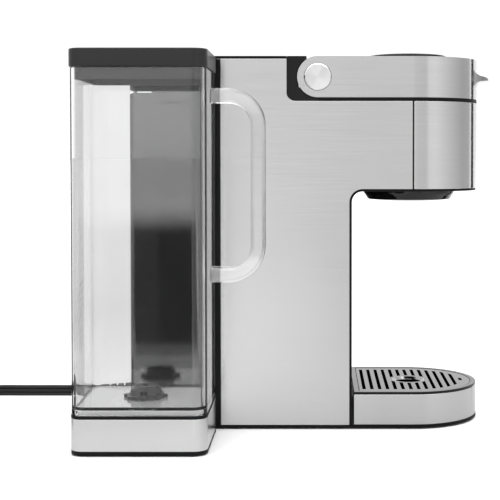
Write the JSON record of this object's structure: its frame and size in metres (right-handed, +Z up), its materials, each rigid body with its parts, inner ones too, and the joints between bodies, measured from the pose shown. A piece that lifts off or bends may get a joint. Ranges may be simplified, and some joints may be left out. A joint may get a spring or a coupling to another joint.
{
  "type": "single-serve coffee maker",
  "caption": "Single-serve pod coffee maker with steel-skinned tower, hinged lid with keys, clear side reservoir on a dock, pull-out drip tray and power cord.",
  "frame": {"origin": "on the counter, under the middle of the object's footprint (tower, dock and lift tab, without the loose cord)", "axes": "+Z up, -Y towards the front where the cup stands, -X towards the reservoir"},
  "size_m": [0.214, 0.5786, 0.32],
  "materials": {
    "brushed_steel_skin": "level brushed grain, satin",
    "turned_metal": "lathe-turned, bright",
    "bright_ring": "polished dark chrome",
    "satin_black": "fine moulded texture",
    "gloss_black": "polished",
    "charcoal": "satin",
    "frame_plastic": "moulded",
    "clear_plastic": "clear moulded",
    "print_grey": "printed",
    "rubber": "matte",
    "seal_grey": "silicone",
    "pale_seal": "silicone",
    "hose_silicone": "translucent silicone",
    "plain_steel": "machined",
    "plug_metal": "stamped",
    "board": "soldermask"
  },
  "bodies": {
    "brewer": {"base_plate": "satin_black", "rubber_feet": "rubber", "base_screws": "plain_steel", "chassis": "frame_plastic", "left_side_panel": "brushed_steel_skin", "right_side_panel": "brushed_steel_skin", "front_fascia": "brushed_steel_skin", "bay_liner": "satin_black", "outlet_shroud": "gloss_black", "rear_housing": "gloss_black", "top_cover": "satin_black", "head_deck": "satin_black", "hinge_housing": "satin_black", "hinge_shaft": "plain_steel", "pod_socket": "satin_black", "pod_holder": "gloss_black", "exit_needle": "plain_steel", "heater_tank": "plain_steel", "heater_cap": "satin_black", "water_pump": "charcoal", "main_board": "board", "supply_hose": "hose_silicone", "feed_hose": "hose_silicone", "brew_hose": "hose_silicone", "dock_foot": "satin_black", "dock_band": "brushed_steel_skin", "dock_deck": "satin_black", "dock_arm": "satin_black", "dock_port": "charcoal", "strain_relief": "rubber", "power_cord": "rubber", "cord_coil": "rubber", "cord_tie": "charcoal", "power_plug": "rubber", "plug_blades": "plug_metal"},
    "lid": {"lid_band": "brushed_steel_skin", "lift_tab": "brushed_steel_skin", "lid_shell": "satin_black", "control_panel": "gloss_black", "pivot_caps": "turned_metal", "needle_plate": "satin_black", "entry_needles": "plain_steel", "lid_seal": "seal_grey"},
    "brew_key": {"brew_key": "charcoal"},
    "power_key": {"power_key": "charcoal"},
    "size_key_1": {"size_key_1": "charcoal"},
    "size_key_2": {"size_key_2": "charcoal"},
    "size_key_3": {"size_key_3": "charcoal"},
    "reservoir": {"reservoir_tank": "clear_plastic", "reservoir_handle": "clear_plastic", "fill_mark": "print_grey", "valve_cage": "charcoal", "valve_spring": "plain_steel", "tank_gasket": "pale_seal"},
    "valve_poppet": {"valve_poppet": "charcoal"},
    "reservoir_lid": {"reservoir_lid": "charcoal"},
    "drip_tray": {"drip_pan": "satin_black", "tray_band": "brushed_steel_skin"},
    "drip_grate": {"drip_grate": "gloss_black", "grate_ring": "bright_ring"}
  },
  "joints": [
    {"name": "lid_hinge", "type": "hinge", "parent": "brewer", "child": "lid", "pos_m": [0.046, -0.02, 0.2982], "axis": [-1, 0, 0], "range_deg": [0, 55]},
    {"name": "brew_key_press", "type": "slide", "parent": "lid", "child": "brew_key", "axis": [0, 0, -1], "range_m": [0, 0.0008], "stiffness_N_per_m": 900, "springref_m": -0.0012},
    {"name": "power_key_press", "type": "slide", "parent": "lid", "child": "power_key", "axis": [0, 0, -1], "range_m": [0, 0.0008], "stiffness_N_per_m": 650, "springref_m": -0.0012},
    {"name": "size_key_1_press", "type": "slide", "parent": "lid", "child": "size_key_1", "axis": [0, 0, -1], "range_m": [0, 0.0008], "stiffness_N_per_m": 650, "springref_m": -0.0012},
    {"name": "size_key_2_press", "type": "slide", "parent": "lid", "child": "size_key_2", "axis": [0, 0, -1], "range_m": [0, 0.0008], "stiffness_N_per_m": 650, "springref_m": -0.0012},
    {"name": "size_key_3_press", "type": "slide", "parent": "lid", "child": "size_key_3", "axis": [0, 0, -1], "range_m": [0, 0.0008], "stiffness_N_per_m": 650, "springref_m": -0.0012},
    {"name": "reservoir_lift", "type": "slide", "parent": "brewer", "child": "reservoir", "axis": [0, 0, 1], "range_m": [0, 0.12]},
    {"name": "valve_lift", "type": "slide", "parent": "reservoir", "child": "valve_poppet", "axis": [0, 0, 1], "range_m": [0, 0.003], "stiffness_N_per_m": 150, "springref_m": -0.004, "deforming": ["valve_spring"]},
    {"name": "reservoir_lid_lift", "type": "slide", "parent": "reservoir", "child": "reservoir_lid", "axis": [0, 0, 1], "range_m": [0, 0.05]},
    {"name": "drip_tray_slide", "type": "slide", "parent": "brewer", "child": "drip_tray", "axis": [0, -1, 0], "range_m": [0, 0.12]},
    {"name": "drip_grate_lift", "type": "slide", "parent": "drip_tray", "child": "drip_grate", "axis": [0, 0, 1], "range_m": [0, 0.03]}
  ]
}
